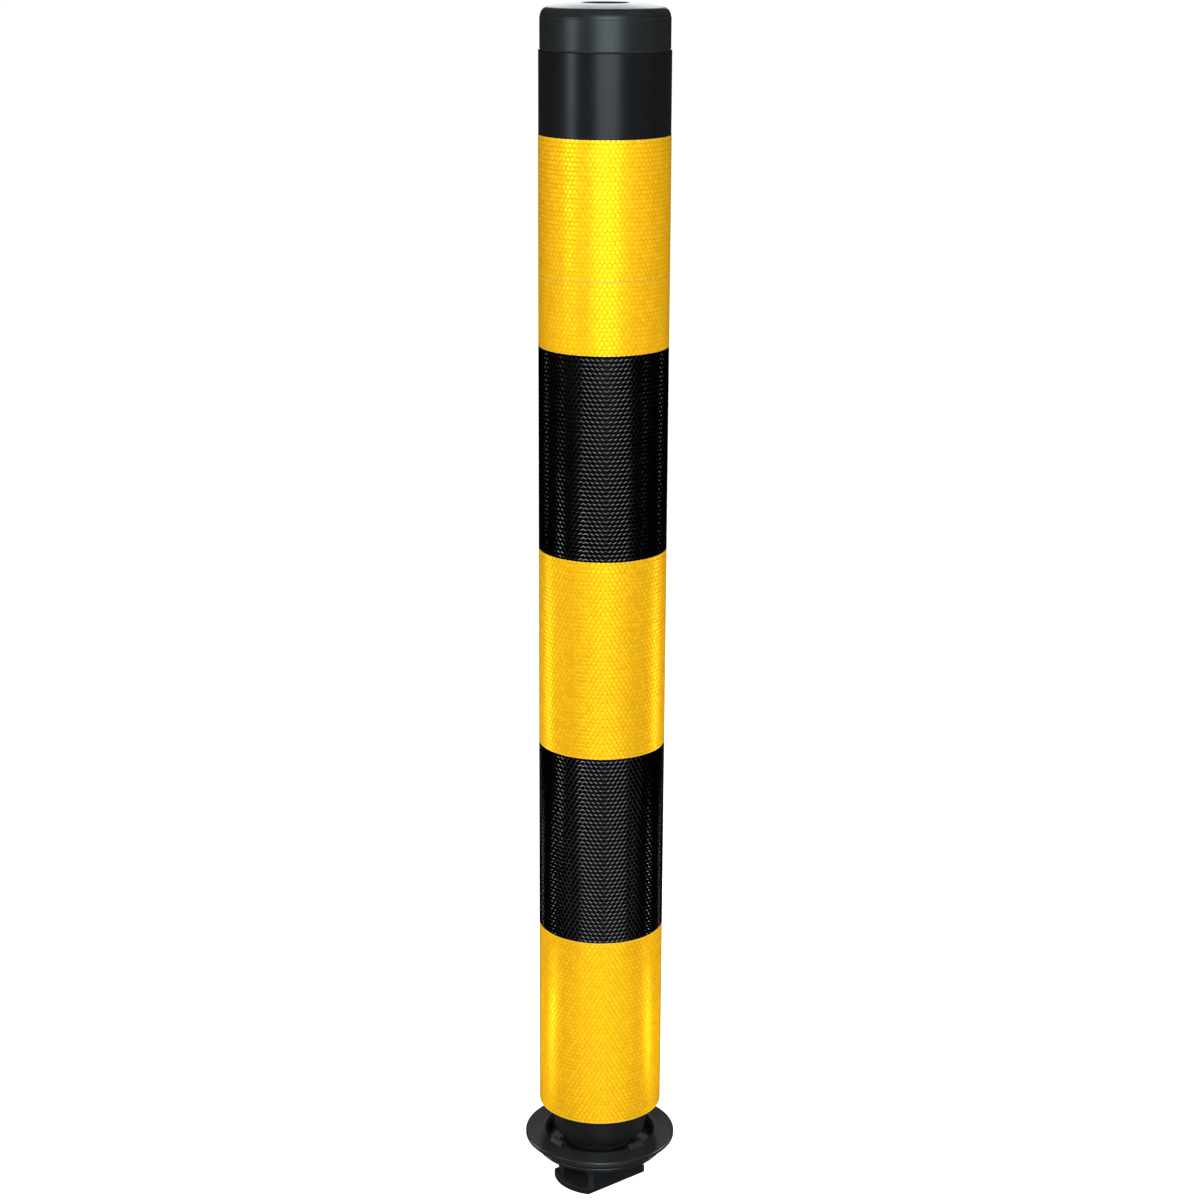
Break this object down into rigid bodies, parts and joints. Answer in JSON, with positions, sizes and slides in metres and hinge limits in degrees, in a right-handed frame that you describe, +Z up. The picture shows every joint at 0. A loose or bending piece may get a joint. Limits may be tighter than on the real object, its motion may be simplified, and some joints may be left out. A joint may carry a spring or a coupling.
{
  "type": "removable self-righting post",
  "caption": "Round black post with yellow and black honeycomb reflective bands, round-shouldered cap, tapered collar, ground flange and a key-turned bayonet foot.",
  "frame": {"origin": "on the post's axis at the underside of the ground flange, which is ground level", "axes": "+Z up along the post; -Y is the front; the foot's long axis lies at 45 degrees between +X and +Y"},
  "size_m": [0.124, 0.124, 0.964],
  "materials": {
    "wrap_yellow": "honeycomb reflective sheet under a clear face, yellow",
    "wrap_black": "honeycomb sheet under a clear face, black",
    "tube_black": "smooth black coating, semi-gloss",
    "cap_black": "moulded black plastic, satin with a fine grain",
    "collar_black": "moulded black glass-filled plastic, satin",
    "casting_black": "black coated casting, satin",
    "rubber_black": "black rubber, dull",
    "zinc_steel": "bright zinc-plated steel",
    "spring_steel": "oiled spring steel, dark",
    "bronze": "plain bearing bronze",
    "guide_nylon": "natural nylon, dull"
  },
  "bodies": {
    "ground_base": {"ground_flange": "casting_black", "ball_pedestal": "casting_black", "pedestal_screws": "zinc_steel", "shaft_bush": "bronze"},
    "lock_foot": {"bayonet_foot": "casting_black", "lower_fork": "zinc_steel", "foot_screw": "zinc_steel", "foot_washer": "zinc_steel", "foot_key": "zinc_steel", "stop_pin": "zinc_steel"},
    "joint_cross": {"cross_block": "zinc_steel", "cross_pin_long": "zinc_steel", "cross_pins_short": "zinc_steel"},
    "drive_line": {"upper_fork": "zinc_steel", "fork_pin": "zinc_steel", "drive_rod": "zinc_steel", "rod_coupler": "zinc_steel", "coupler_pins": "zinc_steel", "key_spindle": "zinc_steel", "spindle_circlip": "zinc_steel", "rod_nuts": "zinc_steel", "rod_washer": "zinc_steel"},
    "post": {"post_tube": "tube_black", "base_plug": "collar_black", "plug_bush": "bronze", "plug_rivets": "zinc_steel", "top_cap": "cap_black", "cap_gasket": "rubber_black", "cap_o_rings": "rubber_black", "spindle_bush": "bronze", "spring_seat_low": "zinc_steel", "main_spring": "spring_steel", "spring_seat_high": "zinc_steel", "rod_guide_low": "guide_nylon", "rod_guide_high": "guide_nylon", "wrap_yellow_low": "wrap_yellow", "wrap_black_low": "wrap_black", "wrap_black_join": "wrap_black", "wrap_yellow_mid": "wrap_yellow", "wrap_black_high": "wrap_black", "wrap_yellow_join": "wrap_yellow", "wrap_yellow_top": "wrap_yellow"}
  },
  "joints": [
    {"name": "lock_turn", "type": "hinge", "parent": "ground_base", "child": "lock_foot", "pos_m": [0, 0, 0], "axis": [0, 0, -1], "range_deg": [0, 90]},
    {"name": "tilt_along", "type": "hinge", "parent": "lock_foot", "child": "joint_cross", "pos_m": [0, 0, 0.0065], "axis": [0.7071, 0.7071, 0], "range_deg": [-14, 14], "stiffness_Nm_per_rad": 400},
    {"name": "tilt_across", "type": "hinge", "parent": "joint_cross", "child": "drive_line", "pos_m": [0, 0, 0.0065], "axis": [-0.7071, 0.7071, 0], "range_deg": [-14, 14], "stiffness_Nm_per_rad": 400},
    {"name": "post_spin", "type": "hinge", "parent": "drive_line", "child": "post", "pos_m": [0, 0, 0.0065], "axis": [0, 0, -1], "range_deg": [-90, 0]}
  ],
  "couplings": [
    {"joint": "post_spin", "follows": "lock_turn", "ratio": -1}
  ]
}
